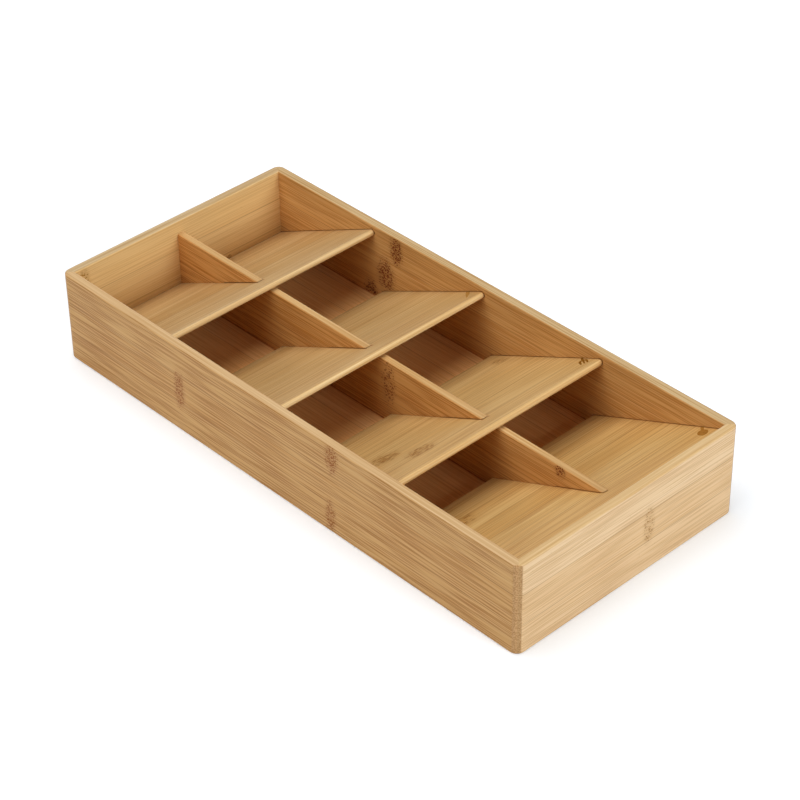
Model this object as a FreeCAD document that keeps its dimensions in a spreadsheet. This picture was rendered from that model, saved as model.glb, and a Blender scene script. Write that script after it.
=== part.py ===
"""Bamboo cutlery tray: four mitred walls, a floor, a centre divider and four sloping ramps.

Millimetres, +Z up, +Y towards the back wall. The origin is on the table under the middle of the tray.
"""
import FreeCAD, Part
import math
import os
from enum import IntEnum

import Sketcher

# Driving dimensions: name, value in millimetres, meaning
DRIVING_SIZES = [
    ("tray_length", "398", "outside, front to back"),
    ("tray_width", "181.4", "outside, left to right"),
    ("tray_height", "63.7", "table to rim"),
    ("wall_thickness", "6.4", "all four walls"),
    ("corner_round", "5.5", "upright outer corners"),
    ("rim_outer_round", "1.2", "outer edge of the rim"),
    ("rim_inner_round", "1.2", "inner edge of the rim"),
    ("bottom_round", "1", "outer edge at the table"),
    ("base_thickness", "5", "floor panel"),
    ("base_lift", "5", "table to the underside of the floor panel"),
    ("base_groove_depth", "3", "groove round the walls for the floor panel"),
    ("base_groove_room", "0.5", "room to swell between panel and groove bottom"),
    ("ramp_thickness", "4.2", "sloping boards"),
    ("ramp_run", "88.5", "level distance from nose centre to foot centre"),
    ("ramp_pitch", "99.2", "nose to nose"),
    ("front_ramp_run", "98.2", "level distance from the front wall to the foot centre of the front ramp"),
    ("nose_drop", "5.9", "rim to the centre of a ramp's nose"),
    ("foot_gap", "2.8", "floor panel to the underside of a ramp's rounded foot"),
    ("rear_foot_gap", "1.7", "floor panel to the underside of the rear ramp at the back wall"),
    ("ramp_groove_depth", "2.5", "grooves in the side walls for the ramps"),
    ("ramp_groove_gap", "0.3", "gap above a ramp in its groove"),
    ("ramp_groove_room", "0.5", "room past a ramp's rounded ends in its groove"),
    ("ramp_end_room", "0.2", "room between a ramp's end and the bottom of its groove"),
    ("divider_thickness", "5", "centre divider"),
    ("divider_drop", "9.1", "rim to the top of the divider"),
    ("divider_round", "1.2", "top edges of the divider"),
    ("lap_gap", "0.4", "gap above a ramp in the divider's slot"),
    ("lap_room", "0.3", "room at the closed end of the divider's slot"),
    ("lap_side_gap", "0.1", "gap on each side of the divider in a ramp's slot"),
    ("cut_overrun", "8", "how far cuts run past what they cut"),
]

# Sizes worked out from the driving ones
DERIVED_SIZES = [
    ("inner_half_length", "=tray_length / 2 - wall_thickness"),
    ("inner_half_width", "=tray_width / 2 - wall_thickness"),
    ("floor_height", "=base_lift + base_thickness"),
    ("base_reach", "=base_groove_depth - base_groove_room"),
    ("divider_top", "=tray_height - divider_drop"),
    ("nose_height", "=tray_height - nose_drop"),
    ("ramp_half", "=ramp_thickness / 2"),
    ("ramp_rise", "=nose_height - floor_height - foot_gap - ramp_half"),
    ("ramp_middle_height", "=nose_height - ramp_rise / 2"),
    ("ramp_reach", "=inner_half_width + ramp_groove_depth - ramp_end_room"),
    ("ramp_plumb_half", "=ramp_half * sqrt(1 + (ramp_rise / ramp_run)^2)"),
    ("rear_ramp_rise", "=nose_height - floor_height - rear_foot_gap - ramp_plumb_half"),
    ("rear_ramp_run", "=rear_ramp_rise * ramp_run / ramp_rise"),
    ("rear_ramp_middle", "=inner_half_length - rear_ramp_run + ramp_run / 2"),
    ("second_ramp_middle", "=rear_ramp_middle - ramp_pitch"),
    ("third_ramp_middle", "=second_ramp_middle - ramp_pitch"),
    ("front_ramp_middle", "=front_ramp_run / 2 - inner_half_length"),
]

# Ramps from back to front: label, place of the middle, run, end that a wall cuts off
RAMPS = [
    ("rear_ramp", "Sizes.rear_ramp_middle", "Sizes.ramp_run", "foot"),
    ("second_ramp", "Sizes.second_ramp_middle", "Sizes.ramp_run", None),
    ("third_ramp", "Sizes.third_ramp_middle", "Sizes.ramp_run", None),
    ("front_ramp", "Sizes.front_ramp_middle", "Sizes.front_ramp_run", "nose"),
]

SAME_PLACE = 1e-4


class Spot(IntEnum):
    """The sketcher's numbers for the points of an edge."""
    START = 1
    END = 2
    CENTRE = 3


class Axis(IntEnum):
    """The sketcher's numbers for the axes of a sketch."""
    ACROSS = -1
    UP = -2


ORIGIN_POINT = (Axis.ACROSS, Spot.START)

document = FreeCAD.newDocument("cutlery_tray")
sheet = document.addObject("Spreadsheet::Sheet", "Sizes")


def fill_sheet():
    """Write the driving and derived sizes into the spreadsheet, one alias each."""
    rows = [(name, value) for name, value, meaning in DRIVING_SIZES] + DERIVED_SIZES
    for row, (name, value) in enumerate(rows, start=1):
        sheet.set(f"A{row}", name)
        sheet.set(f"B{row}", value)
        sheet.setAlias(f"B{row}", name)
    document.recompute()


def size(name):
    """Return one size of the spreadsheet as a number."""
    return float(sheet.get(name))


def new_body(label):
    """Return an empty body with its own label."""
    body = document.addObject("PartDesign::Body", label)
    body.Label = label
    return body


def new_sketch(body, name, plane_role):
    """Return a sketch of the body on one of its own origin planes."""
    sketch = body.newObject("Sketcher::SketchObject", f"{body.Name}_{name}")
    plane = next(item for item in body.Origin.OriginFeatures if item.Role == plane_role)
    sketch.AttachmentSupport = [(plane, "")]
    sketch.MapMode = "FlatFace"
    return sketch


def measure(sketch, kind, first, second, name, expression):
    """Add a distance from the first point to the second and tie it to an expression."""
    places = [sketch.getPoint(*point) for point in (first, second)]
    gap = places[1] - places[0]
    rough = gap.x if kind == "DistanceX" else gap.y
    index = sketch.addConstraint(Sketcher.Constraint(kind, *first, *second, rough))
    sketch.renameConstraint(index, name)
    sketch.setExpression(f"Constraints.{name}", expression)


def line(sketch, start, end):
    """Add a straight line between two points of the plane and return its number."""
    points = [FreeCAD.Vector(*point, 0) for point in (start, end)]
    return sketch.addGeometry(Part.LineSegment(*points))


def join(sketch, first, second):
    """Make two end points meet."""
    sketch.addConstraint(Sketcher.Constraint("Coincident", *first, *second))


def draw_rectangle(sketch, left, right, low, high):
    """Draw a rectangle about the axes.

    Args:
        sketch: the sketch to draw in.
        left, right, low, high: for each side its sign and an expression for its distance from the axis,
            or None for a side on the axis.
    """
    rough = [0 if side is None else side[0] * evaluate(side[1]) for side in (left, right, low, high)]
    corners = [(rough[0], rough[2]), (rough[1], rough[2]), (rough[1], rough[3]), (rough[0], rough[3])]
    lines = [line(sketch, corners[i], corners[(i + 1) % 4]) for i in range(4)]
    for i in range(4):
        join(sketch, (lines[i], Spot.END), (lines[(i + 1) % 4], Spot.START))
        sketch.addConstraint(Sketcher.Constraint("Horizontal" if i % 2 == 0 else "Vertical", lines[i]))
    sides = [("left", left, lines[3], "DistanceX", Axis.UP),
             ("right", right, lines[1], "DistanceX", Axis.UP),
             ("low", low, lines[0], "DistanceY", Axis.ACROSS),
             ("high", high, lines[2], "DistanceY", Axis.ACROSS)]
    for name, side, number, kind, axis in sides:
        tie_point(sketch, (number, Spot.START), side, kind, axis, name)


def tie_point(sketch, point, side, kind, axis, name):
    """Hold a point at a signed distance from the origin, or on the axis where there is no distance."""
    if side is None:
        sketch.addConstraint(Sketcher.Constraint("PointOnObject", *point, axis))
    elif side[0] > 0:
        measure(sketch, kind, ORIGIN_POINT, point, name, side[1])
    else:
        measure(sketch, kind, point, ORIGIN_POINT, name, side[1])


def evaluate(expression):
    """Return the value of an expression of the spreadsheet's sizes."""
    return float(sheet.evalExpression(expression))


def extrude(body, kind, name, sketch, expression, symmetric=True, reverse=False):
    """Pad or pocket a sketch and make it the body's tip."""
    before = body.Shape.Volume if body.Tip else 0
    feature = body.newObject(f"PartDesign::{kind}", f"{body.Name}_{name}")
    feature.Profile = sketch
    feature.SideType = "Symmetric" if symmetric else "One side"
    feature.Reversed = reverse
    feature.setExpression("Length", expression)
    body.Tip = feature
    document.recompute()
    grew = body.Shape.Volume - before
    if (grew > 0) != (kind == "Pad"):
        raise RuntimeError(f"{feature.Name} changes the volume by {grew}")
    return feature


def round_edges(body, name, expression, chosen):
    """Round the edges that the test picks from the body's shape."""
    edges = [f"Edge{i}" for i, edge in enumerate(body.Shape.Edges, start=1) if chosen(edge)]
    base = body.Tip
    feature = body.newObject("PartDesign::Fillet", f"{body.Name}_{name}")
    feature.Base = (base, edges)
    feature.setExpression("Radius", expression)
    body.Tip = feature
    document.recompute()


def at_height(edge, height):
    """Tell whether an edge lies level at a height."""
    return all(abs(vertex.Z - height) < SAME_PLACE for vertex in edge.Vertexes)


def at_depth(edge, depth):
    """Tell whether an edge lies along the wall at a depth, measured along the body's own Y."""
    return all(abs(vertex.Y - depth) < SAME_PLACE for vertex in edge.Vertexes)


def is_arc(edge):
    """Tell whether an edge is part of a circle."""
    return isinstance(edge.Curve, Part.Circle)


def draw_wall_plan(sketch, span, depth):
    """Draw a wall seen from above: outer face, two rounded corners, two mitres and inner face.

    Args:
        sketch: the sketch on the level plane.
        span: expression for the wall's outer length, along X.
        depth: expression for the distance from the origin to the outer face, towards -Y.
    """
    thick = size("wall_thickness")
    corner = size("corner_round")
    half = evaluate(span) / 2
    outer = -evaluate(depth)
    right_arc = corner_arc(sketch, half - corner, outer + corner, math.radians(-90))
    left_arc = corner_arc(sketch, corner - half, outer + corner, math.radians(-135))
    right_bend = sketch.getPoint(right_arc, Spot.END)
    left_bend = sketch.getPoint(left_arc, Spot.START)
    face = line(sketch, (corner - half, outer), (half - corner, outer))
    right_mitre = line(sketch, (right_bend.x, right_bend.y), (half - thick, outer + thick))
    inside = line(sketch, (half - thick, outer + thick), (thick - half, outer + thick))
    left_mitre = line(sketch, (thick - half, outer + thick), (left_bend.x, left_bend.y))
    sketch.addConstraint(Sketcher.Constraint("Tangent", face, Spot.END, right_arc, Spot.START))
    sketch.addConstraint(Sketcher.Constraint("Tangent", face, Spot.START, left_arc, Spot.END))
    join(sketch, (right_arc, Spot.END), (right_mitre, Spot.START))
    join(sketch, (right_mitre, Spot.END), (inside, Spot.START))
    join(sketch, (inside, Spot.END), (left_mitre, Spot.START))
    join(sketch, (left_mitre, Spot.END), (left_arc, Spot.START))
    for side in (face, inside):
        sketch.addConstraint(Sketcher.Constraint("Symmetric", side, Spot.START, side, Spot.END, Axis.UP))
    sketch.addConstraint(Sketcher.Constraint("Equal", right_arc, left_arc))
    sketch.addConstraint(Sketcher.Constraint("PointOnObject", right_arc, Spot.CENTRE, right_mitre))
    sketch.addConstraint(Sketcher.Constraint("PointOnObject", left_arc, Spot.CENTRE, left_mitre))
    radius = sketch.addConstraint(Sketcher.Constraint("Radius", right_arc, corner))
    sketch.renameConstraint(radius, "corner")
    sketch.setExpression("Constraints.corner", "Sizes.corner_round")
    measure(sketch, "DistanceY", (face, Spot.START), ORIGIN_POINT, "depth", depth)
    measure(sketch, "DistanceY", (face, Spot.START), (inside, Spot.START), "wall", "Sizes.wall_thickness")
    inner_span = f"{span} - 2 * Sizes.wall_thickness"
    measure(sketch, "DistanceX", (inside, Spot.END), (inside, Spot.START), "inside", inner_span)
    flat_span = f"{span} - 2 * Sizes.corner_round"
    measure(sketch, "DistanceX", (face, Spot.START), (face, Spot.END), "flat_span", flat_span)


def corner_arc(sketch, x, y, first_angle):
    """Add an eighth of a circle about a corner's centre, from an angle onwards, and return its number."""
    circle = Part.Circle(FreeCAD.Vector(x, y, 0), FreeCAD.Vector(0, 0, 1), size("corner_round"))
    return sketch.addGeometry(Part.ArcOfCircle(circle, first_angle, first_angle + math.radians(45)))


def make_wall(label, span, depth):
    """Build a mitred wall along X with its outer face towards -Y.

    Args:
        label: the body's label.
        span: expression for the wall's outer length.
        depth: expression for the distance from the tray's middle to the outer face.
    """
    body = new_body(label)
    plan = new_sketch(body, "plan", "XY_Plane")
    draw_wall_plan(plan, span, depth)
    extrude(body, "Pad", "board", plan, "Sizes.tray_height", symmetric=False)
    outer = -evaluate(depth)
    inner = outer + size("wall_thickness")
    top = size("tray_height")
    round_edges(body, "rim_outer", "Sizes.rim_outer_round",
                lambda edge: at_height(edge, top) and (is_arc(edge) or at_depth(edge, outer)))
    round_edges(body, "bottom", "Sizes.bottom_round",
                lambda edge: at_height(edge, 0) and (is_arc(edge) or at_depth(edge, outer)))
    round_edges(body, "rim_inner", "Sizes.rim_inner_round",
                lambda edge: at_height(edge, top) and at_depth(edge, inner))
    groove = new_sketch(body, "base_groove", "YZ_Plane")
    draw_rectangle(groove, (-1, f"{depth} - Sizes.wall_thickness + Sizes.base_groove_depth"),
                   (-1, f"{depth} - Sizes.wall_thickness - Sizes.cut_overrun"),
                   (1, "Sizes.base_lift"), (1, "Sizes.floor_height"))
    extrude(body, "Pocket", "base_groove_cut", groove, f"{span} + Sizes.cut_overrun")
    return body


def ramp_slope(run):
    """Return expressions for a ramp's slope angle, its tangent and its length along the slope."""
    tangent = f"Sizes.ramp_rise / {run}"
    return f"atan({tangent})", tangent, f"sqrt({run}^2 + Sizes.ramp_rise^2)"


def tilt_about(axis):
    """Return a placement turned about an axis, whose angle an expression can then set."""
    return FreeCAD.Placement(FreeCAD.Vector(), FreeCAD.Rotation(axis, 1))


def lay_on_slope(sketch, middle, run, offset=None):
    """Move and turn a sketch on an upright plane into a ramp's frame: X down the slope, Y square to it."""
    angle = ramp_slope(run)[0]
    sketch.AttachmentOffset = tilt_about(FreeCAD.Vector(0, 0, -1))
    sketch.setExpression("AttachmentOffset.Base.x", middle)
    sketch.setExpression("AttachmentOffset.Base.y", "Sizes.ramp_middle_height")
    sketch.setExpression("AttachmentOffset.Rotation.Angle", angle)
    if offset:
        sketch.setExpression("AttachmentOffset.Base.z", offset)


def draw_ramp_side(sketch, middle, run, cut_end, over="0", room="0"):
    """Draw a ramp's outline from the side, in its own frame with the origin at its middle.

    Args:
        sketch: the sketch to draw in.
        middle: expression for the place of the ramp's middle along the tray.
        run: expression for the ramp's level length.
        cut_end: "foot" or "nose" for an end that a wall cuts off plumb, or None.
        over: expression for extra height above the ramp.
        room: expression for extra length past a rounded end.
    """
    angle, tangent, length = ramp_slope(run)
    top = f"Sizes.ramp_half + {over}"
    half = f"{length} / 2"
    to_wall = f"(Sizes.inner_half_length - {middle}) * {length} / {run}"
    reach = {"nose": [f"{half} + {room}"] * 2, "foot": [f"{half} + {room}"] * 2}
    if cut_end == "nose":
        reach["nose"] = [f"{half} + ({top}) * {tangent}", f"{half} - Sizes.ramp_half * {tangent}"]
    if cut_end == "foot":
        reach["foot"] = [f"{to_wall} - ({top}) * {tangent}", f"{to_wall} + Sizes.ramp_half * {tangent}"]
    high, low = evaluate(top), -size("ramp_half")
    nose_x = [-evaluate(text) for text in reach["nose"]]
    foot_x = [evaluate(text) for text in reach["foot"]]
    upper = line(sketch, (nose_x[0], high), (foot_x[0], high))
    lower = line(sketch, (foot_x[1], low), (nose_x[1], low))
    sketch.addConstraint(Sketcher.Constraint("Horizontal", upper))
    sketch.addConstraint(Sketcher.Constraint("Horizontal", lower))
    close_end(sketch, (upper, Spot.END), (lower, Spot.START), cut_end == "foot", 1)
    close_end(sketch, (lower, Spot.END), (upper, Spot.START), cut_end == "nose", -1)
    measure(sketch, "DistanceY", ORIGIN_POINT, (upper, Spot.START), "top", top)
    measure(sketch, "DistanceY", (lower, Spot.START), ORIGIN_POINT, "bottom", "Sizes.ramp_half")
    measure(sketch, "DistanceX", (upper, Spot.START), ORIGIN_POINT, "nose_reach", reach["nose"][0])
    measure(sketch, "DistanceX", ORIGIN_POINT, (upper, Spot.END), "foot_reach", reach["foot"][0])
    if cut_end == "nose":
        measure(sketch, "DistanceX", (lower, Spot.END), ORIGIN_POINT, "lower_reach", reach["nose"][1])
    if cut_end == "foot":
        measure(sketch, "DistanceX", ORIGIN_POINT, (lower, Spot.START), "lower_reach", reach["foot"][1])


def close_end(sketch, first, second, plumb, direction):
    """Close one end of a ramp's outline with a straight cut or a half circle."""
    start, end = sketch.getPoint(*first), sketch.getPoint(*second)
    if plumb:
        cut = sketch.addGeometry(Part.LineSegment(start, end))
        join(sketch, first, (cut, Spot.START))
        join(sketch, (cut, Spot.END), second)
        return
    bulge = FreeCAD.Vector(direction * start.distanceToPoint(end) / 2, 0, 0)
    arc = sketch.addGeometry(Part.Arc(start, (start + end) / 2 + bulge, end))
    near = Spot.START if sketch.getPoint(arc, Spot.START).isEqual(start, SAME_PLACE) else Spot.END
    far = Spot.END if near == Spot.START else Spot.START
    sketch.addConstraint(Sketcher.Constraint("Tangent", *first, arc, near))
    sketch.addConstraint(Sketcher.Constraint("Tangent", *second, arc, far))


def make_ramp(label, middle, run, cut_end):
    """Build a ramp lying flat about its own middle, slot it for the divider and tilt it into place."""
    angle, tangent, length = ramp_slope(run)
    body = new_body(label)
    side = new_sketch(body, "side", "YZ_Plane")
    draw_ramp_side(side, middle, run, cut_end)
    extrude(body, "Pad", "board", side, "2 * Sizes.ramp_reach")
    slot = new_sketch(body, "slot", "XY_Plane")
    half_slot = "Sizes.divider_thickness / 2 + Sizes.lap_side_gap"
    draw_rectangle(slot, (-1, half_slot), (1, half_slot), None, (1, f"{length} / 2 + Sizes.cut_overrun"))
    extrude(body, "Pocket", "slot_cut", slot, "2 * Sizes.ramp_thickness")
    body.Placement = tilt_about(FreeCAD.Vector(-1, 0, 0))
    body.setExpression("Placement.Base.y", middle)
    body.setExpression("Placement.Base.z", "Sizes.ramp_middle_height")
    body.setExpression("Placement.Rotation.Angle", angle)
    return body


def cut_ramp_grooves(body):
    """Cut the stopped grooves for the ramps into a side wall's inner face."""
    for label, middle, run, cut_end in RAMPS:
        groove = new_sketch(body, f"{label}_groove", "XZ_Plane")
        lay_on_slope(groove, middle, run, "Sizes.inner_half_width")
        draw_ramp_side(groove, middle, run, cut_end, "Sizes.ramp_groove_gap", "Sizes.ramp_groove_room")
        extrude(body, "Pocket", f"{label}_groove_cut", groove, "Sizes.ramp_groove_depth",
                symmetric=False, reverse=True)


def make_divider():
    """Build the centre divider with rounded top edges and one slot for each ramp."""
    body = new_body("centre_divider")
    side = new_sketch(body, "side", "YZ_Plane")
    draw_rectangle(side, (-1, "Sizes.inner_half_length"), (1, "Sizes.inner_half_length"),
                   (1, "Sizes.floor_height"), (1, "Sizes.divider_top"))
    extrude(body, "Pad", "board", side, "Sizes.divider_thickness")
    top = size("divider_top")
    half = size("divider_thickness") / 2
    round_edges(body, "top_round", "Sizes.divider_round",
                lambda edge: at_height(edge, top) and abs(edge.Vertexes[0].X - edge.Vertexes[-1].X) < half)
    for label, middle, run, cut_end in RAMPS:
        slot = new_sketch(body, f"{label}_slot", "YZ_Plane")
        lay_on_slope(slot, middle, run)
        past_nose = f"{ramp_slope(run)[2]} / 2 + Sizes.ramp_half + Sizes.cut_overrun"
        draw_rectangle(slot, (-1, past_nose), (1, "Sizes.lap_room"),
                       (-1, "Sizes.ramp_half"), (1, "Sizes.ramp_half + Sizes.lap_gap"))
        extrude(body, "Pocket", f"{label}_slot_cut", slot, "2 * Sizes.divider_thickness")
    return body


def make_base_panel():
    """Build the floor panel, which reaches into the grooves of the four walls."""
    panel = document.addObject("Part::Box", "base_panel")
    panel.Label = "base_panel"
    half_width = "(Sizes.inner_half_width + Sizes.base_reach)"
    half_length = "(Sizes.inner_half_length + Sizes.base_reach)"
    panel.setExpression("Length", f"2 * {half_width}")
    panel.setExpression("Width", f"2 * {half_length}")
    panel.setExpression("Height", "Sizes.base_thickness")
    panel.setExpression("Placement.Base.x", f"-1 * {half_width}")
    panel.setExpression("Placement.Base.y", f"-1 * {half_length}")
    panel.setExpression("Placement.Base.z", "Sizes.base_lift")
    return panel


def make_mirror(label, source, normal):
    """Return the mirror image of a part across a plane through the tray's middle."""
    mirror = document.addObject("Part::Mirroring", label)
    mirror.Label = label
    mirror.Source = source
    mirror.Normal = normal
    return mirror


def check_and_export(nodes):
    """Check every object, then write each node's STEP file."""
    for item in document.Objects:
        if "Invalid" in item.State or "Error" in item.State:
            raise RuntimeError(f"{item.Name} is in state {item.State}")
    os.makedirs("parts", exist_ok=True)
    for node in nodes:
        shape = node.Shape
        if shape.isNull() or not shape.isValid() or len(shape.Solids) != 1:
            raise RuntimeError(f"{node.Label} is not one valid solid")
        shape.exportStep(f"parts/{node.Label}.step")
        box = shape.BoundBox
        print(f"{node.Label}: {box.XLength:.2f} x {box.YLength:.2f} x {box.ZLength:.2f} mm, "
              f"{shape.Volume / 1000:.2f} cm3")


fill_sheet()
front_wall = make_wall("front_wall", "Sizes.tray_width", "Sizes.tray_length / 2")
right_wall = make_wall("right_wall", "Sizes.tray_length", "Sizes.tray_width / 2")
cut_ramp_grooves(right_wall)
right_wall.Placement = FreeCAD.Placement(FreeCAD.Vector(), FreeCAD.Rotation(FreeCAD.Vector(0, 0, 1), 90))
left_wall = make_mirror("left_wall", right_wall, FreeCAD.Vector(1, 0, 0))
back_wall = make_mirror("back_wall", front_wall, FreeCAD.Vector(0, 1, 0))
base_panel = make_base_panel()
ramps = [make_ramp(*ramp) for ramp in RAMPS]
centre_divider = make_divider()
document.recompute()
check_and_export([left_wall, right_wall, front_wall, back_wall, base_panel, centre_divider, *ramps])
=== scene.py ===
"""Looks of the bamboo cutlery tray: a finish for each board, the burnt marks, the studio and the camera.

Lengths are in millimetres up to the point where a mesh, lamp or camera is placed, which is in metres.
"""
from __future__ import annotations

import logging
import math
from dataclasses import dataclass
from enum import Enum

import bpy
import numpy as np
from mathutils import Matrix, Vector


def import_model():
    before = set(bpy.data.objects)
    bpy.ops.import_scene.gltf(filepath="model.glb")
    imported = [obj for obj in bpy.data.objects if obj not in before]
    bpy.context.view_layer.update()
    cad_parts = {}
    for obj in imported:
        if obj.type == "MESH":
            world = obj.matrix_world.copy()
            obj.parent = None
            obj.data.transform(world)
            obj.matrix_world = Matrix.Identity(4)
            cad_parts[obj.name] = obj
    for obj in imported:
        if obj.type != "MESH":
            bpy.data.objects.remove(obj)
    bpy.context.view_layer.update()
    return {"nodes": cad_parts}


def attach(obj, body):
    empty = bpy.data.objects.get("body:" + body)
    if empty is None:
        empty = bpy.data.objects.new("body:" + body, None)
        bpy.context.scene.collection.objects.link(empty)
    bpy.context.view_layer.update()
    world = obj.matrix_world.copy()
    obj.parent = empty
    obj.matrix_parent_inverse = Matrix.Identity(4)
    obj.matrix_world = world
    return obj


LOG = logging.getLogger("cutlery_tray")
MM = 0.001

Pair = tuple[float, float]
Triple = tuple[float, float, float]
Colour = tuple[float, float, float, float]
Stops = tuple[tuple[float, str], ...]
Tree = bpy.types.NodeTree
Socket = bpy.types.NodeSocket

# Tones of the cane: a strip's face, its plainer edge, and the fibres' cut ends
FACE_TONES: Stops = ((0.15, "#b07a42"), (0.40, "#d0a266"), (0.60, "#deb983"), (0.85, "#ecd0a2"))
EDGE_TONES: Stops = ((0.30, "#cca168"), (0.70, "#e7c695"))
END_TONES: Stops = ((0.34, "#ac8252"), (0.66, "#c8a172"))

# Stains laid over the cane: dark fibre bundles, glue between strips, and the lines where boards meet, partly
# glue and partly painted shade in the crease
BUNDLE_STAIN = "#9d631c"
GLUE_STAIN = "#8f6236"
JOINT_GLUE_AND_SHADE = "#9a5208"
NO_TINT: Triple = (1.0, 1.0, 1.0)

# Sizes that several boards share
INNER_HALF_WIDTH = 84.3
INNER_HALF_LENGTH = 192.6
HALF_DIVIDER = 2.5
UP: Triple = (0.0, 0.0, 1.0)
SIDEWAYS: Triple = (1.0, 0.0, 0.0)


def linear(code: str) -> Colour:
    """Turn an sRGB hex colour into linear light.

    Args:
        code: six hex digits after a #.

    Returns:
        Red, green, blue and an alpha of one.
    """
    shares = [int(code[i:i + 2], 16) / 255 for i in (1, 3, 5)]
    red, green, blue = [c / 12.92 if c <= 0.04045 else ((c + 0.055) / 1.055) ** 2.4 for c in shares]
    return red, green, blue, 1.0


def tinted(code: str, tint: Triple) -> Colour:
    """Turn an sRGB hex colour into linear light and stain it.

    Args:
        code: six hex digits after a #.
        tint: a factor for red, green and blue.

    Returns:
        Red, green, blue and an alpha of one.
    """
    red, green, blue, alpha = linear(code)
    return red * tint[0], green * tint[1], blue * tint[2], alpha


def add_node(tree: Tree, kind: str, inputs: dict | None = None, **settings) -> bpy.types.Node:
    """Add a shader node, set its options, and fill or link its sockets.

    Args:
        tree: the node tree of a material or the world.
        kind: the node's type after "ShaderNode".
        inputs: socket name or number to a value, or to the output that feeds it.
        settings: the node's own options.

    Returns:
        The new node.
    """
    node = tree.nodes.new("ShaderNode" + kind)
    for name, value in settings.items():
        setattr(node, name, value)
    for key, value in (inputs or {}).items():
        if isinstance(value, Socket):
            tree.links.new(value, node.inputs[key])
        else:
            node.inputs[key].default_value = value
    return node


def new_material(name: str) -> tuple[bpy.types.Material, Tree]:
    """Make an empty node material.

    Args:
        name: the material's name.

    Returns:
        The material and its tree, with no nodes in it.
    """
    material = bpy.data.materials.new(name)
    material.use_nodes = True
    material.node_tree.nodes.clear()
    return material, material.node_tree


def stained(tree: Tree, value: Socket, tones: Stops, tint: Triple) -> Socket:
    """Turn a value from 0 to 1 into a tone.

    Args:
        tree: the material's nodes.
        value: what picks the tone.
        tones: places from 0 to 1 with their colours.
        tint: the board's tint, partly its own tone and partly painted light and shade.

    Returns:
        The colour.
    """
    ramp = add_node(tree, "ValToRGB", {0: value})
    stops = ramp.color_ramp.elements
    for stop, (position, code) in zip(stops, (tones[0], tones[-1])):
        stop.position = position
        stop.color = tinted(code, tint)
    for position, code in tones[1:-1]:
        stops.new(position).color = tinted(code, tint)
    return ramp.outputs[0]


class Grain(Enum):
    """Which way a board's fibres run."""
    ALONG_TRAY = (0.0, 1.0, 0.0)
    ACROSS_TRAY = (1.0, 0.0, 0.0)


@dataclass(frozen=True)
class Knuckle:
    """A joint of the cane in one strip: a short band where the fibres end in dark dashes.

    The place is along and across the grain from the board's own origin.
    """
    along: float
    across: float
    length: float
    width: float
    depth: float


@dataclass(frozen=True)
class Joint:
    """A glued joint on a board's face: its distance from the middle on both sides, and where it starts."""
    distance: float
    start: float


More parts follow.
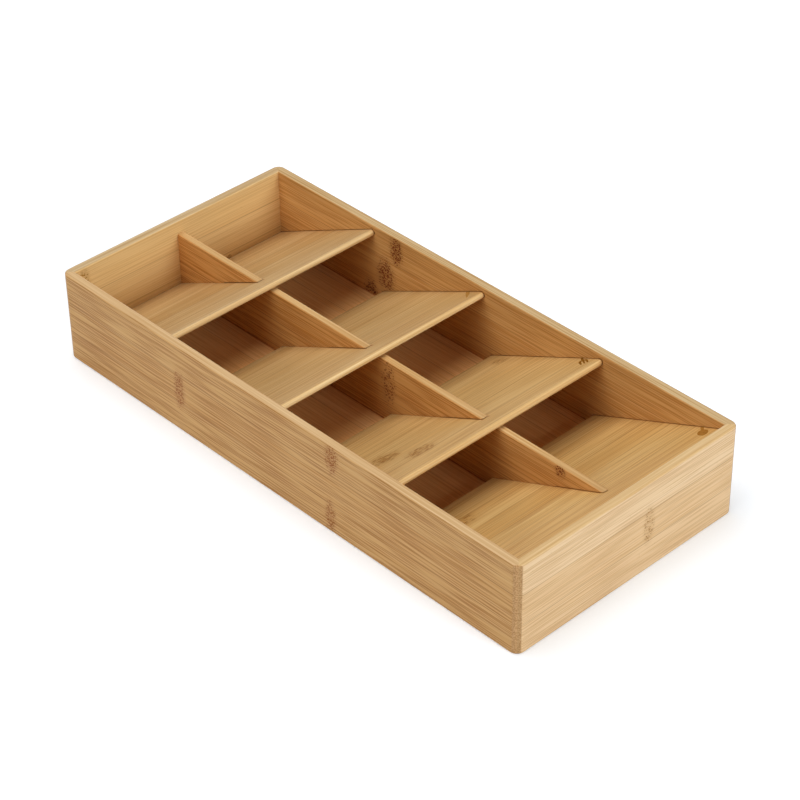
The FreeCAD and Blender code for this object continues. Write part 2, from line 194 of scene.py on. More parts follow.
@dataclass(frozen=True)
class BambooFinish:
    """Bamboo lumber, planed, sanded and wiped with a thin satin lacquer.

    It is glued up from flat strips of cane. A face shows bands of slightly different tan and hair-fine
    brown bundles of fibre, with a knuckle here and there. A strip's edge is plainer, with faint layers, and
    cut ends are dull, darker and dotted. Widths are across the grain and lengths along it. Depths tell how
    strongly a feature shows.
    """
    name: str
    grain: Grain
    across: Triple
    origin: Triple = (0.0, 0.0, 0.0)
    seed: float = 0.0

    # The board's tint on faces, strip edges and cut ends: partly its own tone, partly painted light and
    # shade
    tint: Triple = NO_TINT
    edge_tint: Triple = NO_TINT
    end_tint: Triple = NO_TINT

    # Cosines at which a surface starts to show an edge or an end, and shows it fully
    edge_facing: Pair = (0.5, 0.85)
    end_facing: Pair = (0.2, 0.5)

    # Strips of cane, the glue lines between them, and the layers and pores where they are cut
    strip_width: float = 21.2
    strip_start: float = 0.0
    strip_depth: float = 0.08
    glue_width: float = 0.45
    glue_depth: float = 0.55
    layer_width: float = 1.1
    layer_depth: float = 1.0
    pore_width: float = 0.85

    # Fine fibres and broad streaks, and how far they waver
    fibre_width: float = 0.65
    fibre_length: float = 90.0
    fibre_depth: float = 0.3
    streak_width: float = 9.0
    streak_length: float = 260.0
    streak_depth: float = 0.1
    sway: float = 0.5
    sway_width: float = 26.0
    sway_length: float = 150.0

    # Fibre bundles are 0.3 to 0.5 mm wide and lie close. They are drawn wider and further apart, because
    # finer ones wouldn't show. Some are long. The taper runs from a dash's rim to its core, in cells.
    bundle_width: float = 1.2
    bundle_length: float = 55.0
    bundle_depth: float = 0.6
    bundle_scatter: float = 0.75
    bundle_taper: Pair = (0.36, 0.12)
    long_stretch: float = 2.7

    # Knuckles: their dashes, how many of these drop out towards the rim, and the stain between them
    knuckles: tuple[Knuckle, ...] = ()
    # The knuckles' stain, chosen darker on shaded boards as painted shade.
    knuckle_stain_and_shade: str = "#8c5600"
    knuckle_core: float = 0.7
    knuckle_wash: float = 0.3
    dash_width: float = 0.9
    dash_length: float = 1.6
    dash_scatter: float = 0.9
    dash_taper: Pair = (0.6, 0.25)
    dash_loss: float = 0.8
    dash_fade: Pair = (-0.1, 0.4)

    # Joints with other boards, measured along the grain for an axis of 0 and across it for 1
    # Their dark lines are partly glue and partly painted shade in the crease.
    joints: tuple[Joint, ...] = ()
    joint_axis: int = 0
    joint_reach: float = 0.8
    joint_core: float = 0.2
    joint_depth: float = 0.8

    # The lacquer: worn fibres are rougher, and the grain can just be felt
    specular: float = 0.15
    refraction: float = 1.5
    roughness: Pair = (0.48, 0.36)
    relief: float = 0.06
    relief_strength: float = 0.2

    # Noise: how strong its finer layers are, and how far apart neighbouring strips and different boards lie
    noise_mix: float = 0.55
    strip_step: float = 7.31
    seed_step: float = 3.7

    def board_axes(self) -> Matrix:
        """Find the turn from the tray's axes to the board's.

        Returns:
            A matrix of three rows: the directions along, across and through the board.
        """
        along = Vector(self.grain.value)
        across = Vector(self.across)
        return Matrix((along, across, along.cross(across)))

    def material(self) -> bpy.types.Material:
        """Build the node material.

        Returns:
            The finished material.
        """
        material, tree = new_material(self.name)
        place = self.place_in_board(tree)
        parts = add_node(tree, "SeparateXYZ", {0: place})
        strip, strip_tone, seam = self.strips(tree, parts.outputs[1])
        fibres, streaks, bundles = self.figure(tree, place, strip)
        face = stained(tree, self.tone(tree, fibres, streaks, strip_tone), FACE_TONES, self.tint)
        lined = self.stain_over(tree, bundles, face, BUNDLE_STAIN)
        glued = self.stain_over(tree, seam, lined, GLUE_STAIN)
        marked = self.knuckle_marks(tree, place, glued)
        edged = self.cut_face(tree, self.across, self.edge_facing, marked, self.edge(tree, place, strip))
        ended = self.cut_face(tree, self.grain.value, self.end_facing, edged, self.end(tree, place))
        joined = self.joint_lines(tree, parts, ended)
        rough = add_node(tree, "MapRange", {0: fibres, 3: self.roughness[0], 4: self.roughness[1]})
        bump = add_node(tree, "Bump", {
            "Strength": self.relief_strength, "Distance": self.relief * MM, "Height": fibres})
        shader = add_node(tree, "BsdfPrincipled", {
            "Base Color": joined, "Roughness": rough.outputs[0], "IOR": self.refraction,
            "Specular IOR Level": self.specular, "Normal": bump.outputs[0]})
        add_node(tree, "OutputMaterial", {0: shader.outputs[0]})
        return material

    def place_in_board(self, tree: Tree) -> Socket:
        """Measure the place from the board's origin.

        Args:
            tree: the material's nodes.

        Returns:
            Millimetres along, across and through the board.
        """
        axes = self.board_axes()
        objects = add_node(tree, "TexCoord")
        mapping = add_node(tree, "Mapping", {
            "Vector": objects.outputs["Object"], "Location": -(axes @ Vector(self.origin)),
            "Rotation": axes.to_euler(), "Scale": (1 / MM,) * 3})
        return mapping.outputs[0]

    def strips(self, tree: Tree, across: Socket) -> tuple[Socket, Socket, Socket]:
        """Divide the board into glued strips.

        Args:
            tree: the material's nodes.
            across: the place across the grain.

        Returns:
            The strip's number, its tone from 0 to 1, and a mask of the glue lines.
        """
        offset = add_node(tree, "Math", {0: across, 1: -self.strip_start}, operation="ADD")
        share = add_node(tree, "Math", {0: offset.outputs[0], 1: self.strip_width}, operation="DIVIDE")
        number = add_node(tree, "Math", {0: share.outputs[0]}, operation="FLOOR")
        tone = add_node(tree, "TexWhiteNoise", {
            "Vector": (self.seed, 0.0, 0.0), "W": number.outputs[0]}, noise_dimensions="4D")
        inside = add_node(tree, "Math", {0: share.outputs[0]}, operation="FRACT")
        centred = add_node(tree, "Math", {0: inside.outputs[0], 1: 0.5}, operation="SUBTRACT")
        rim = add_node(tree, "Math", {0: centred.outputs[0]}, operation="ABSOLUTE")
        line = self.glue_width / self.strip_width
        seam = add_node(tree, "MapRange", {
            0: rim.outputs[0], 1: 0.5 - line, 2: 0.5, 3: 0.0, 4: self.glue_depth},
            interpolation_type="SMOOTHSTEP")
        return number.outputs[0], tone.outputs[0], seam.outputs[0]

    def stretched_noise(self, tree: Tree, place: Socket, strip: Socket, size: Pair, detail: float) -> Socket:
        """Draw noise out along the grain, different in each strip.

        Args:
            tree: the material's nodes.
            place: the place in the board.
            strip: the strip's number.
            size: width and length of a feature.
            detail: how many finer layers the noise has.

        Returns:
            The noise, from 0 to 1.
        """
        width, length = size
        scaled = add_node(tree, "VectorMath", {
            0: place, 1: (1 / length, 1 / width, 1 / width)}, operation="MULTIPLY")
        shift = add_node(tree, "Math", {
            0: strip, 1: self.strip_step, 2: self.seed * self.seed_step + width}, operation="MULTIPLY_ADD")
        noise = add_node(tree, "TexNoise", {
            "Vector": scaled.outputs[0], "W": shift.outputs[0], "Scale": 1.0, "Detail": detail,
            "Roughness": self.noise_mix}, noise_dimensions="4D")
        return noise.outputs[0]

    def figure(self, tree: Tree, place: Socket, strip: Socket) -> tuple[Socket, Socket, Socket]:
        """Draw the figure of the cane, which wavers a little along the board.

        Args:
            tree: the material's nodes.
            place: the place in the board.
            strip: the strip's number.

        Returns:
            Fine fibres, broad streaks, and a mask of dark fibre bundles.
        """
        drift = self.stretched_noise(tree, place, strip, (self.sway_width, self.sway_length), 0.0)
        sway = add_node(tree, "MapRange", {0: drift, 3: -self.sway, 4: self.sway})
        lean = add_node(tree, "CombineXYZ", {1: sway.outputs[0]})
        moved = add_node(tree, "VectorMath", {0: place, 1: lean.outputs[0]}, operation="ADD")
        wavered = moved.outputs[0]
        fine = self.stretched_noise(tree, wavered, strip, (self.fibre_width, self.fibre_length), 0.0)
        broad = self.stretched_noise(tree, wavered, strip, (self.streak_width, self.streak_length), 1.0)
        short = self.bundles(tree, wavered, 1.0)
        long = self.bundles(tree, wavered, self.long_stretch)
        both = add_node(tree, "Math", {0: short, 1: long}, operation="MAXIMUM")
        return fine, broad, both.outputs[0]

    def bundles(self, tree: Tree, place: Socket, stretch: float) -> Socket:
        """Strew fibre bundles: thin dashes that taper at both ends, round the middles of long flat cells.

        Args:
            tree: the material's nodes.
            place: the place in the board.
            stretch: how much longer the dashes are than the board's usual ones.

        Returns:
            A mask, up to the bundles' depth.
        """
        scaled = add_node(tree, "Mapping", {
            "Vector": place, "Location": (self.seed, stretch, 0.0),
            "Scale": (1 / (self.bundle_length * stretch), 1 / self.bundle_width, 1.0)})
        cells = add_node(tree, "TexVoronoi", {
            "Vector": scaled.outputs[0], "Scale": 1.0, "Randomness": self.bundle_scatter},
            voronoi_dimensions="2D")
        rim, core = self.bundle_taper
        mask = add_node(tree, "MapRange", {
            0: cells.outputs["Distance"], 1: rim, 2: core, 3: 0.0, 4: self.bundle_depth})
        return mask.outputs[0]

    def tone(self, tree: Tree, fibres: Socket, streaks: Socket, strip_tone: Socket) -> Socket:
        """Add up fibres, streaks and the strip's own tone.

        Args:
            tree: the material's nodes.
            fibres: fine fibres, from 0 to 1.
            streaks: broad streaks, from 0 to 1.
            strip_tone: the strip's tone, from 0 to 1.

        Returns:
            One value about a half.
        """
        layers = ((fibres, self.fibre_depth), (streaks, self.streak_depth), (strip_tone, self.strip_depth))
        total = 0.5 - sum(depth for _, depth in layers) / 2
        for layer, depth in layers:
            added = add_node(tree, "Math", {0: layer, 1: depth, 2: total}, operation="MULTIPLY_ADD")
            total = added.outputs[0]
        return total

    def stain_over(self, tree: Tree, mask: Socket, ground: Socket, stain: str) -> Socket:
        """Lay a stain over a colour, in the board's tint.

        Args:
            tree: the material's nodes.
            mask: how much of the stain shows, from 0 to 1.
            ground: the colour beneath.
            stain: the stain's sRGB hex colour.

        Returns:
            The colour all over.
        """
        cover = tinted(stain, self.tint)
        mix = add_node(tree, "Mix", {0: mask, 6: ground, 7: cover}, data_type="RGBA")
        return mix.outputs[2]

    def knuckle_marks(self, tree: Tree, place: Socket, ground: Socket) -> Socket:
        """Draw the knuckles: soft ovals of darker cane, filled with short dashes that thin out to the rim.

        Args:
            tree: the material's nodes.
            place: the place in the board.
            ground: the colour elsewhere.

        Returns:
            The colour all over.
        """
        if not self.knuckles:
            return ground
        ovals = 0.0
        for knuckle in self.knuckles:
            oval = self.oval(tree, place, knuckle)
            ovals = add_node(tree, "Math", {0: ovals, 1: oval}, operation="MAXIMUM").outputs[0]
        grains = add_node(tree, "VectorMath", {
            0: place, 1: (1 / self.dash_length, 1 / self.dash_width, 1 / self.dash_width)},
            operation="MULTIPLY")
        cells = add_node(tree, "TexVoronoi", {
            "Vector": grains.outputs[0], "Scale": 1.0, "Randomness": self.dash_scatter})
        dashes = add_node(tree, "MapRange", {
            0: cells.outputs["Distance"], 1: self.dash_taper[0], 2: self.dash_taper[1]},
            interpolation_type="SMOOTHSTEP")
        loose = add_node(tree, "Math", {
            0: cells.outputs["Color"], 1: -self.dash_loss, 2: ovals}, operation="MULTIPLY_ADD")
        kept = add_node(tree, "MapRange", {
            0: loose.outputs[0], 1: self.dash_fade[0], 2: self.dash_fade[1]})
        drawn = add_node(tree, "Math", {0: dashes.outputs[0], 1: kept.outputs[0]}, operation="MULTIPLY")
        mask = add_node(tree, "Math", {
            0: ovals, 1: self.knuckle_wash, 2: drawn.outputs[0]}, operation="MULTIPLY_ADD", use_clamp=True)
        return self.stain_over(tree, mask.outputs[0], ground, self.knuckle_stain_and_shade)

    def oval(self, tree: Tree, place: Socket, knuckle: Knuckle) -> Socket:
        """Fade one knuckle out to an oval rim.

        Args:
            tree: the material's nodes.
            place: the place in the board.
            knuckle: where the oval lies, and its size.

        Returns:
            A mask, up to the knuckle's depth.
        """
        along, across = 2 / knuckle.length, 2 / knuckle.width
        scaled = add_node(tree, "Mapping", {
            "Vector": place, "Location": (-knuckle.along * along, -knuckle.across * across, 0.0),
            "Scale": (along, across, 0.0)})
        ball = add_node(tree, "TexGradient", {0: scaled.outputs[0]}, gradient_type="SPHERICAL")
        mask = add_node(tree, "MapRange", {
            0: ball.outputs[1], 1: 0.0, 2: self.knuckle_core, 3: 0.0, 4: knuckle.depth},
            interpolation_type="SMOOTHSTEP")
        return mask.outputs[0]

    def edge(self, tree: Tree, place: Socket, strip: Socket) -> Socket:
        """Colour a strip's edge, where the layers of the cane show as faint lines.

        Args:
            tree: the material's nodes.
            place: the place in the board.
            strip: the strip's number.

        Returns:
            The colour.
        """
        layers = self.stretched_noise(tree, place, strip, (self.layer_width, self.fibre_length), 1.0)
        half_range = 0.5 / self.layer_depth
        drawn = add_node(tree, "MapRange", {0: layers, 1: 0.5 - half_range, 2: 0.5 + half_range})
        return stained(tree, drawn.outputs[0], EDGE_TONES, self.edge_tint)

    def end(self, tree: Tree, place: Socket) -> Socket:
        """Colour a cut end, dotted with the ends of fibres.

        Args:
            tree: the material's nodes.
            place: the place in the board.

        Returns:
            The colour.
        """
        pores = add_node(tree, "TexNoise", {"Vector": place, "Scale": 1 / self.pore_width, "Detail": 0.0})
        return stained(tree, pores.outputs[0], END_TONES, self.end_tint)

    def cut_face(self, tree: Tree, direction: Triple, turn: Pair, ground: Socket, cut: Socket) -> Socket:
        """Show another colour where the surface turns towards a direction, as at a strip's edge or end.

        Args:
            tree: the material's nodes.
            direction: the way such a surface faces, or the opposite way.
            turn: the cosines at which the other colour starts and is full.
            ground: the colour elsewhere.
            cut: the other colour.

        Returns:
            The colour all over.
        """
        surface = add_node(tree, "NewGeometry")
        facing = add_node(tree, "VectorMath", {
            0: surface.outputs["Normal"], 1: direction}, operation="DOT_PRODUCT")
        either = add_node(tree, "Math", {0: facing.outputs["Value"]}, operation="ABSOLUTE")
        mask = add_node(tree, "MapRange", {
            0: either.outputs[0], 1: turn[0], 2: turn[1]}, interpolation_type="SMOOTHSTEP")
        mix = add_node(tree, "Mix", {0: mask.outputs[0], 6: ground, 7: cut}, data_type="RGBA")
        return mix.outputs[2]

    def joint_lines(self, tree: Tree, parts: bpy.types.Node, ground: Socket) -> Socket:
        """Darken a thin line where the board meets its neighbours, the same on both sides of its middle:
        partly glue, partly painted shade in the crease.

        Args:
            tree: the material's nodes.
            parts: the node that gives the places along and across the board.
            ground: the colour elsewhere.

        Returns:
            The colour all over.
        """
        measured, other = parts.outputs[self.joint_axis], parts.outputs[1 - self.joint_axis]
        side = add_node(tree, "Math", {0: measured}, operation="ABSOLUTE")
        for joint in self.joints:
            offset = add_node(tree, "Math", {
                0: side.outputs[0], 1: joint.distance}, operation="SUBTRACT")
            gap = add_node(tree, "Math", {0: offset.outputs[0]}, operation="ABSOLUTE")
            line = add_node(tree, "MapRange", {
                0: gap.outputs[0], 1: self.joint_reach, 2: self.joint_core, 3: 0.0, 4: self.joint_depth},
                interpolation_type="SMOOTHSTEP")
            begun = add_node(tree, "Math", {0: other, 1: joint.start}, operation="GREATER_THAN")
            mask = add_node(tree, "Math", {0: line.outputs[0], 1: begun.outputs[0]}, operation="MULTIPLY")
            # The line is partly glue and partly painted shade in the crease between the boards.
            ground = self.stain_over(tree, mask.outputs[0], ground, JOINT_GLUE_AND_SHADE)
        return ground


@dataclass(frozen=True)
class BurntFinish:
    """Bamboo scorched brown by a hot stamp: matt, darker where the stamp pressed longest."""
    name: str
    pale: str
    dark: str
    char_size: float = 1.4
    char_detail: float = 2.0
    char_range: Pair = (0.3, 0.7)
    roughness: float = 0.75
    refraction: float = 1.45
    specular: float = 0.15

    def material(self) -> bpy.types.Material:
        """Build the node material.

        Returns:
            The finished material.
        """
        material, tree = new_material(self.name)
        objects = add_node(tree, "TexCoord")
        scaled = add_node(tree, "VectorMath", {
            0: objects.outputs["Object"], 1: (1 / MM / self.char_size,) * 3}, operation="MULTIPLY")
        noise = add_node(tree, "TexNoise", {
            "Vector": scaled.outputs[0], "Scale": 1.0, "Detail": self.char_detail})
        tones = tuple(zip(self.char_range, (self.dark, self.pale)))
        char = stained(tree, noise.outputs[0], tones, NO_TINT)
        shader = add_node(tree, "BsdfPrincipled", {
            "Base Color": char, "Roughness": self.roughness, "IOR": self.refraction,
            "Specular IOR Level": self.specular})
        add_node(tree, "OutputMaterial", {0: shader.outputs[0]})
        return material


class Boards:
    """A group of the tray's boards."""

    def finishes(self) -> dict[str, BambooFinish]:
        """Return a finish for each board, by its node's name."""
        raise NotImplementedError

    def dress(self, nodes: dict[str, bpy.types.Object]) -> None:
        """Give each board of the group its finish.

        Args:
            nodes: all of the tray's boards by name.
        """
        for node, finish in self.finishes().items():
            slots = nodes[node].data.materials
            slots.clear()
            slots.append(finish.material())
            LOG.info("dressed %s in %s", node, finish.name)


@dataclass
class Walls(Boards):
    """The four mitred walls, each of three strips one over the other, with the fibres along it."""
    strip_width: float = 21.6
    strip_start: float = -0.6
    side_end_facing: Pair = (0.05, 0.35)
    side_end_tint: Triple = (1.0, 0.95, 0.9)
    short_end_facing: Pair = (0.28, 0.42)
    short_end_tint: Triple = (0.88, 0.85, 0.8)

    def finishes(self) -> dict[str, BambooFinish]:
        """Choose a finish for each wall, with its knuckles where the cane had them.

        Returns:
            The finishes, by the walls' node names.
        """
        layout = {"across": UP, "strip_width": self.strip_width, "strip_start": self.strip_start}
        side = {**layout, "grain": Grain.ALONG_TRAY, "end_tint": self.side_end_tint,
                "end_facing": self.side_end_facing}
        short = {**layout, "grain": Grain.ACROSS_TRAY, "end_tint": self.short_end_tint,
                 "end_facing": self.short_end_facing, "streak_depth": 0.05}
        # Besides each wall's own tone, the tints hold painted light and shade: the front wall paler as if
        # lit, the left wall and the right wall's inside darker and more saturated as if shaded, the back
        # wall's inside brighter; the rims' edge tints are set the same way.
        return {
            "left_wall": BambooFinish(
                "bamboo_left_wall", **side, seed=1.3, tint=(0.93, 0.845, 0.72),
                edge_tint=(0.875, 0.85, 0.85), bundle_depth=0.72, knuckle_stain_and_shade="#94500a",
                knuckles=(Knuckle(87.0, 31.5, 14.0, 40.0, 0.85), Knuckle(-50.0, 55.0, 15.0, 32.0, 0.85),
                          Knuckle(-48.0, 12.0, 13.0, 34.0, 0.7))),
            "right_wall": BambooFinish(
                "bamboo_right_wall", **side, seed=4.1, tint=(0.985, 0.855, 0.68),
                edge_tint=(0.755, 0.745, 0.71), bundle_depth=0.5, layer_width=0.8, layer_depth=2.5,
                # A darker knuckle colour on this shaded board: partly painted shade.
                knuckle_stain_and_shade="#6b2c0b",
                knuckles=(Knuckle(80.0, 53.0, 17.0, 30.0, 0.95), Knuckle(90.0, 31.0, 23.0, 36.0, 0.95),
                          Knuckle(104.0, 12.0, 18.0, 26.0, 0.9))),
            "front_wall": BambooFinish(
                "bamboo_front_wall", **short, seed=7.7, tint=(1.11, 1.2, 1.51),
                edge_tint=(0.95, 0.96, 0.95), fibre_depth=0.2, bundle_depth=0.4, bundle_length=60.0,
                knuckles=(Knuckle(15.0, 33.0, 13.0, 40.0, 0.6),)),
            "back_wall": BambooFinish(
                "bamboo_back_wall", **short, seed=9.2, tint=(1.19, 1.28, 1.3),
                edge_tint=(0.78, 0.81, 0.865), fibre_depth=0.15, bundle_depth=0.25, bundle_length=80.0,
                knuckles=(Knuckle(-78.0, 54.0, 11.0, 26.0, 0.8), Knuckle(38.0, 17.5, 7.0, 5.0, 0.9))),
        }


@dataclass(frozen=True)
class Ramp:
    """One sloping board: where its middle lies along the tray, how far it runs, and how it looks."""
    middle: float
    run: float
    seed: float
    tint: Triple
    nose_tint: Triple
    knuckles: tuple[Knuckle, ...] = ()


@dataclass
class Ramps(Boards):
    """The four sloping boards, with the fibres across the tray."""
    run: float = 88.5
    pitch: float = 99.2
    front_run: float = 98.2
    rise: float = 42.9
    rear_middle: float = 146.563
    middle_height: float = 36.35
    thickness: float = 4.2
    strip_width: float = 20.5

    # Places down the slope from a ramp's middle: the first strip, past the nose, and the divider's crossing
    strip_start: float = -53.0
    past_nose: float = -60.0
    divider_crossing: float = -37.5

    def boards(self) -> dict[str, Ramp]:
        """Lay out the ramps from back to front.

        Returns:
            The ramps, by their node names.
        """
        second_middle = self.rear_middle - self.pitch
        third_middle = second_middle - self.pitch
        front_middle = self.front_run / 2 - INNER_HALF_LENGTH
        # Besides each ramp's own tone, the tints and nose tints hold painted light and shade; the paler
        # noses of the rear and second ramps are partly a painted highlight.
        return {
            "rear_ramp": Ramp(self.rear_middle, self.run, 12.4, (0.82, 0.83, 0.82), (0.955, 0.94, 0.84)),
            "second_ramp": Ramp(second_middle, self.run, 15.0, (0.885, 0.9, 0.86), (1.05, 1.08, 1.02)),
            "third_ramp": Ramp(
                third_middle, self.run, 17.6, (0.95, 0.955, 0.845), (0.95, 0.9, 0.745),
                (Knuckle(-59.3, -10.0, 30.0, 22.0, 0.9), Knuckle(-45.6, -27.6, 30.0, 20.0, 0.9),
                 Knuckle(76.0, 33.0, 16.0, 16.0, 0.6))),
            "front_ramp": Ramp(
                front_middle, self.front_run, 20.2, (0.975, 0.94, 0.76), (0.97, 0.98, 0.88),
                (Knuckle(-53.4, 26.5, 30.0, 24.0, 0.6),)),
        }

    def slope(self, ramp: Ramp) -> Vector:
        """Return the direction down a ramp."""
        return Vector((0.0, ramp.run, -self.rise)).normalized()

    def finishes(self) -> dict[str, BambooFinish]:
        """Choose a finish for each ramp, with dark lines where it meets the side walls and the divider,
        partly glue and partly painted crease shade.

        Returns:
            The finishes, by the ramps' node names.
        """
        joints = (Joint(INNER_HALF_WIDTH, self.past_nose), Joint(HALF_DIVIDER, self.divider_crossing))
        return {
            node: BambooFinish(
                f"bamboo_{node}", Grain.ACROSS_TRAY, tuple(self.slope(ramp)),
                origin=(0.0, ramp.middle, self.middle_height), seed=ramp.seed, tint=ramp.tint,
                edge_tint=ramp.nose_tint, strip_width=self.strip_width, strip_start=self.strip_start,
                specular=0.4, bundle_depth=0.5, bundle_length=80.0, streak_depth=0.2, dash_length=4.0,
                knuckles=ramp.knuckles, joints=joints)
            for node, ramp in self.boards().items()}

    def to_tray(self, node: str, across: np.ndarray, down: np.ndarray, lift: np.ndarray) -> np.ndarray:
        """Turn places on a ramp's upper face into the tray's frame.

        A point is the ramp's middle, plus its place down the slope times the slope's direction, plus its
        height over the board's middle plane times the direction square to the face, moved sideways.

        Args:
            node: the ramp's name.
            across: places across the tray.
            down: places down the slope from the ramp's middle.
            lift: heights over the upper face, square to it.

        Returns:
            An array of points in metres.
        """
        ramp = self.boards()[node]
        fall = np.array(self.slope(ramp))
        rising = np.array((0.0, -fall[2], fall[1]))
        middle = np.array((0.0, ramp.middle, self.middle_height))
        above = (lift + self.thickness / 2)[..., None]
        points = middle + down[..., None] * fall + above * rising
        points[..., 0] += across
        return points * MM


@dataclass
class DividerAndFloor(Boards):
    """The upright divider and the floor panel, with the fibres along the tray."""
    floor_height: float = 10.0
    half_length: float = 199.0

    def finishes(self) -> dict[str, BambooFinish]:
        """Choose a finish for the divider, and one for the floor with dark lines along its neighbours,
        partly glue and partly painted crease shade.

        Returns:
            The finishes, by the boards' node names.
        """
        joints = tuple(Joint(side, -self.half_length) for side in (INNER_HALF_WIDTH, HALF_DIVIDER))
        # Besides each board's own tone, the tints hold painted light and shade: the divider darker and more
        # saturated as if shaded, the floor paler as if lit.
        return {
            "centre_divider": BambooFinish(
                "bamboo_divider", Grain.ALONG_TRAY, UP, seed=31.0, strip_width=23.0,
                strip_start=self.floor_height, tint=(1.0, 0.83, 0.63), edge_tint=(0.85, 0.77, 0.65),
                # A darker knuckle colour on this shaded board: partly painted shade.
                bundle_depth=0.65, knuckle_stain_and_shade="#6b2c0b",
                knuckles=(Knuckle(-4.3, 39.0, 17.0, 46.0, 0.6), Knuckle(-146.0, 52.0, 12.0, 18.0, 0.75))),
            "base_panel": BambooFinish(
                "bamboo_floor", Grain.ALONG_TRAY, SIDEWAYS, seed=37.0, strip_width=19.4,
                tint=(1.2, 1.06, 0.96), fibre_depth=0.2, bundle_depth=0.3, joint_reach=1.6, joint_axis=1,
                joints=joints),
        }


@dataclass(frozen=True)
class Stroke:
    """One stroke of a burnt mark: a flat ribbon along a line on the ramp."""
    points: tuple[Pair, ...]
    half_widths: tuple[float, ...]


@dataclass
class BurntMark:
    """A small piece of cutlery burnt into a ramp, its handle running up to the right wall.

    Strokes are drawn in the mark's own frame: the first number runs from the wall along the mark, the
    second to its side. The mark lies at a slant on the ramp.
    """
    node: str
    mark: str
    finish: BurntFinish
    strokes: tuple[Stroke, ...]
    start_down: float
    slant: float = 45.0
    wall_gap: float = 0.1
    film: float = 0.06
    steps: int = 24
    ring: int = 12

    def ribbon(self, stroke: Stroke) -> tuple[np.ndarray, np.ndarray, np.ndarray]:
        """Carry a flat ellipse along a stroke's line.

        The line and the half width are interpolated over the line's length. At each step the ellipse stands
        square to the line: its wide axis lies in the ramp's face and its narrow axis is the film's height.

        Args:
            stroke: the stroke to draw.

        Returns:
            Places along and beside the mark, and heights, each an array of steps by ring.
        """
        line = np.array(stroke.points, float)
        lengths = np.concatenate(([0.0], np.cumsum(np.hypot(*np.diff(line, axis=0).T))))
        at = np.linspace(0.0, lengths[-1], self.steps)
        centre = np.stack([np.interp(at, lengths, line[:, i]) for i in (0, 1)], axis=-1)
        half = np.interp(at, np.linspace(0.0, lengths[-1], len(stroke.half_widths)), stroke.half_widths)
        heading = np.gradient(centre, axis=0)
        heading /= np.linalg.norm(heading, axis=1, keepdims=True)
        turn = np.linspace(0.0, 2 * math.pi, self.ring, endpoint=False)
        wide = half[:, None] * np.cos(turn)
        along = centre[:, :1] - wide * heading[:, 1:]
        beside = centre[:, 1:] + wide * heading[:, :1]
        height = np.broadcast_to(self.film * np.sin(turn), along.shape)
        return along, beside, height

    def build(self, ramps: Ramps) -> bpy.types.Object:
        """Make the mark's mesh on its ramp: one closed tube of quads for each stroke.

        Args:
            ramps: the sloping boards, which give the place.

        Returns:
            The mark's object.
        """
        slant = math.radians(self.slant)
        cosine, sine = math.cos(slant), math.sin(slant)
        wall_end = INNER_HALF_WIDTH - self.wall_gap
        points, faces = [], []
        for stroke in self.strokes:
            along, beside, height = self.ribbon(stroke)
            across = wall_end - along * cosine + beside * sine
            down = self.start_down - along * sine - beside * cosine
            first = len(points) * self.steps * self.ring
            points.append(ramps.to_tray(self.node, across, down, height).reshape(-1, 3))
            grid = first + np.arange(self.steps * self.ring).reshape(self.steps, self.ring)
            turned = np.roll(grid, -1, axis=1)
            sides = np.stack([grid[:-1], turned[:-1], turned[1:], grid[1:]], axis=-1).reshape(-1, 4)
            faces += sides.tolist() + [grid[0, ::-1].tolist(), grid[-1].tolist()]
        mesh = bpy.data.meshes.new(self.mark)
        mesh.from_pydata(np.concatenate(points).tolist(), [], faces)
        piece = bpy.data.objects.new(self.mark, mesh)
        bpy.context.scene.collection.objects.link(piece)
        return piece

    def dress(self, piece: bpy.types.Object) -> None:
        """Give the mark its burnt finish."""
        piece.data.materials.append(self.finish.material())


def burnt_marks() -> list[BurntMark]:
    """Draw the three marks: a knife's tip, a fork and a spoon.

    Returns:
        The marks, from back to front.
    """
    knife = (Stroke(((0.0, 0.0), (9.0, 0.0), (13.5, -0.4)), (1.4, 1.4, 1.2, 0.8, 0.05)),)
    fork = (
        Stroke(((0.0, 0.0), (5.0, 0.0)), (0.75, 0.75)),
        Stroke(((12.4, -2.2), (7.5, -2.3), (5.6, -1.6), (4.9, 0.0), (5.6, 1.6), (7.5, 2.2), (11.6, 1.9)),
               (0.5, 0.65, 0.95, 1.1, 0.95, 0.65, 0.5)),
        Stroke(((4.9, 0.0), (11.9, 0.0)), (0.7, 0.55)),
    )
    spoon = (
        Stroke(((0.0, 0.0), (4.6, 0.0)), (1.1, 0.9)),
        Stroke(((4.0, 0.0), (13.8, 0.0)), (0.3, 1.9, 2.8, 3.2, 3.3, 3.2, 2.8, 2.0, 0.2)),
    )
    light_brown = BurntFinish("burnt_knife", "#b08142", "#9a6a2c")
    dark_brown = BurntFinish("burnt_fork", "#8d5c14", "#744606")
    middle_brown = BurntFinish("burnt_spoon", "#ab7632", "#93601f")
    return [
        BurntMark("second_ramp", "knife_mark", light_brown, knife, start_down=-36.9),
        BurntMark("third_ramp", "fork_mark", dark_brown, fork, start_down=-34.0, slant=54.4),
        BurntMark("front_ramp", "spoon_mark", middle_brown, spoon, start_down=-37.2),
    ]


@dataclass(frozen=True)
class Lamp:
    """A round soft light that faces the tray. Lengths are in metres."""
    name: str
    direction: Triple
    distance: float
    radius: float
    level: float
    hue: str = "#ffffff"

    def hang(self) -> None:
        """Hang the lamp.

        A disc of power P and radius a at distance d lights a white card that faces it to P over pi squared
        times (d squared plus a squared), so the power follows from the level wanted.
        """
        data = bpy.data.lights.new(self.name, "AREA")
        data.shape = "DISK"
        data.size = 2 * self.radius
        data.color = linear(self.hue)[:3]
        data.energy = self.level * math.pi ** 2 * (self.distance ** 2 + self.radius ** 2)
        lamp = bpy.data.objects.new(self.name, data)
        towards = Vector(self.direction).normalized()
        lamp.location = towards * self.distance
        lamp.rotation_mode = "QUATERNION"
        lamp.rotation_quaternion = towards.to_track_quat("Z", "Y")
        bpy.context.scene.collection.objects.link(lamp)


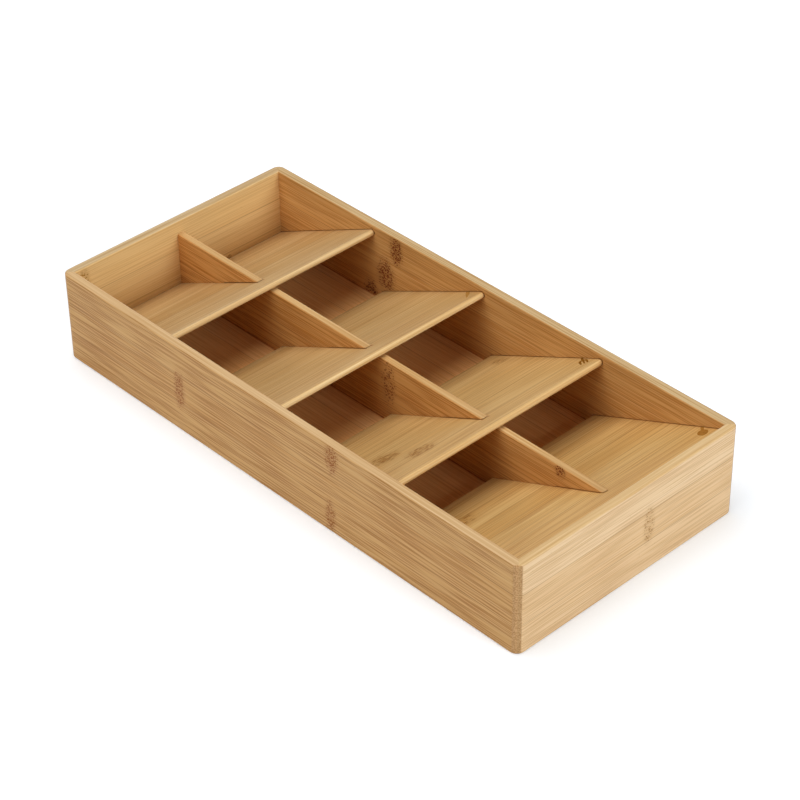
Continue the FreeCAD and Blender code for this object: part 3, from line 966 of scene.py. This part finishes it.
@dataclass
class Studio:
    """A white floor under a broad soft light overhead, a low one in front and a weak one at the left.

    The floor's reach is in metres.
    """
    lamps: tuple[Lamp, ...] = (
        Lamp("top_light", direction=(-0.1, 0.18, 1.0), distance=3.0, radius=1.6, level=0.69),
        Lamp("front_light", direction=(0.1, -0.93, 0.29), distance=4.0, radius=0.8, level=0.57,
             hue="#f0f8ff"),
        Lamp("side_light", direction=(-0.92, -0.05, 0.34), distance=4.0, radius=0.9, level=0.2),
    )
    sky: float = 0.13
    paper: str = "#ecf0f4"
    floor_lift: float = 0.258
    floor_reach: float = 8.0

    def build(self) -> bpy.types.Object:
        """Set up world, lamps and floor.

        Returns:
            The floor.
        """
        self.world()
        for lamp in self.lamps:
            lamp.hang()
        return self.floor()

    def world(self) -> None:
        """Light the tray evenly from all round, and show white behind it."""
        world = bpy.data.worlds.new("studio")
        bpy.context.scene.world = world
        world.use_nodes = True
        tree = world.node_tree
        tree.nodes.clear()
        strength = add_node(tree, "MapRange", {0: self.seen(tree), 3: self.sky, 4: 1.0})
        shade = add_node(tree, "Background", {
            "Color": linear("#ffffff"), "Strength": strength.outputs[0]})
        add_node(tree, "OutputWorld", {0: shade.outputs[0]})

    def seen(self, tree: Tree) -> Socket:
        """Tell what is looked at from what gives light.

        Args:
            tree: the nodes of the world or the floor.

        Returns:
            1 for rays from the camera or by way of a gloss or glass, and 0 for the light that falls.
        """
        path = add_node(tree, "LightPath")
        direct = add_node(tree, "Math", {
            0: path.outputs["Is Camera Ray"], 1: path.outputs["Is Glossy Ray"]}, operation="MAXIMUM")
        either = add_node(tree, "Math", {
            0: direct.outputs[0], 1: path.outputs["Is Transmission Ray"]}, operation="MAXIMUM")
        return either.outputs[0]

    def floor(self) -> bpy.types.Object:
        """Lay a white paper floor, a touch brighter to the camera.

        Returns:
            The floor.
        """
        reach = self.floor_reach
        corners = [(-reach, -reach, 0.0), (reach, -reach, 0.0), (reach, reach, 0.0), (-reach, reach, 0.0)]
        mesh = bpy.data.meshes.new("floor")
        mesh.from_pydata(corners, [], [(0, 1, 2, 3)])
        material, tree = new_material("white_paper")
        matt = add_node(tree, "BsdfDiffuse", {"Color": linear(self.paper)})
        lift = add_node(tree, "Math", {0: self.seen(tree), 1: self.floor_lift}, operation="MULTIPLY")
        glow = add_node(tree, "Emission", {"Strength": lift.outputs[0]})
        both = add_node(tree, "AddShader", {0: matt.outputs[0], 1: glow.outputs[0]})
        add_node(tree, "OutputMaterial", {0: both.outputs[0]})
        mesh.materials.append(material)
        floor = bpy.data.objects.new("floor", mesh)
        bpy.context.scene.collection.objects.link(floor)
        return floor


@dataclass
class PhotoCamera:
    """The camera of the photograph, found from the tray's edges in it."""
    azimuth: float = -43.18
    elevation: float = 36.82
    roll: float = 0.80
    place: Triple = (-850.9, -918.3, 959.5)
    lens: float = 115.83
    sensor_width: float = 36.0
    clip_start: float = 0.05

    def build(self) -> bpy.types.Object:
        """Make the camera and set it as the scene's.

        Returns:
            The camera.
        """
        azimuth, elevation, roll = (math.radians(a) for a in (self.azimuth, self.elevation, self.roll))
        level = math.cos(elevation)
        back = Vector((math.sin(azimuth) * level, -math.cos(azimuth) * level, math.sin(elevation)))
        right = Vector(UP).cross(back).normalized()
        up = back.cross(right)
        rolled_right = right * math.cos(roll) - up * math.sin(roll)
        rolled_up = up * math.cos(roll) + right * math.sin(roll)
        data = bpy.data.cameras.new("photo_camera")
        data.lens = self.lens
        data.sensor_width = self.sensor_width
        data.clip_start = self.clip_start
        camera = bpy.data.objects.new("photo_camera", data)
        turn = Matrix((rolled_right, rolled_up, back)).transposed().to_4x4()
        camera.matrix_world = Matrix.Translation(Vector(self.place) * MM) @ turn
        bpy.context.scene.collection.objects.link(camera)
        bpy.context.scene.camera = camera
        return camera


def main() -> None:
    """Load the boards, dress them, add the marks, and set up the studio."""
    logging.basicConfig(level=logging.INFO, format="%(name)s: %(message)s")
    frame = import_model()
    ramps = Ramps()
    for boards in (Walls(), ramps, DividerAndFloor()):
        boards.dress(frame["nodes"])
    for mark in burnt_marks():
        piece = mark.build(ramps)
        mark.dress(piece)
        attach(piece, "root")
        LOG.info("burnt %s into %s", piece.name, mark.node)
    Studio().build()
    camera = PhotoCamera().build()
    LOG.info("set up the studio and %s", camera.name)
    bpy.context.scene.view_settings.view_transform = "Standard"


if __name__ == "__main__":
    main()
